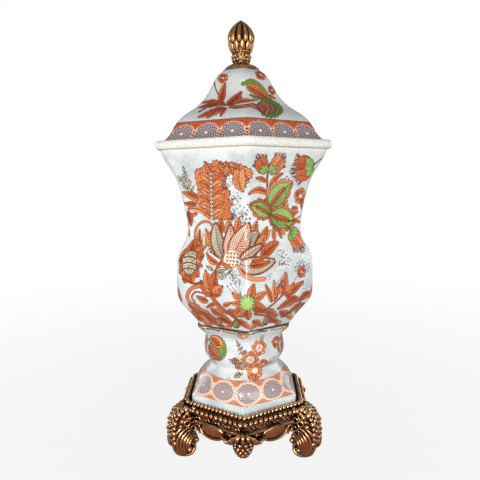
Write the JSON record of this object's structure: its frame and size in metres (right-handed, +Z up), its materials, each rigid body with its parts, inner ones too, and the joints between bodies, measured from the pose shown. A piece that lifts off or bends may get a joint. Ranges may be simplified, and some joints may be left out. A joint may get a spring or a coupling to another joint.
{
  "type": "covered hexagonal porcelain urn on a bronze foot",
  "caption": "Hexagonal baluster urn of painted, crackled porcelain with a bell-shaped lid, standing on a waisted pedestal and a scroll-footed gilt bronze base with a bud finial.",
  "frame": {"origin": "under the middle of the base, on the surface that the feet stand on", "axes": "+Z up through the finial, -Y through the corner of the base that faces the viewer"},
  "size_m": [0.2002, 0.2196, 0.51],
  "materials": {
    "porcelain": "glazed white porcelain with a fine crackle, painted in orange, rust and green",
    "mount_bronze": "aged gilt bronze, dark in the recesses",
    "finial_bronze": "aged gilt bronze, bright on the ridges"
  },
  "bodies": {
    "root": {"mount": "mount_bronze", "pedestal": "porcelain", "body": "porcelain", "lid": "porcelain", "finial": "finial_bronze"}
  },
  "joints": []
}
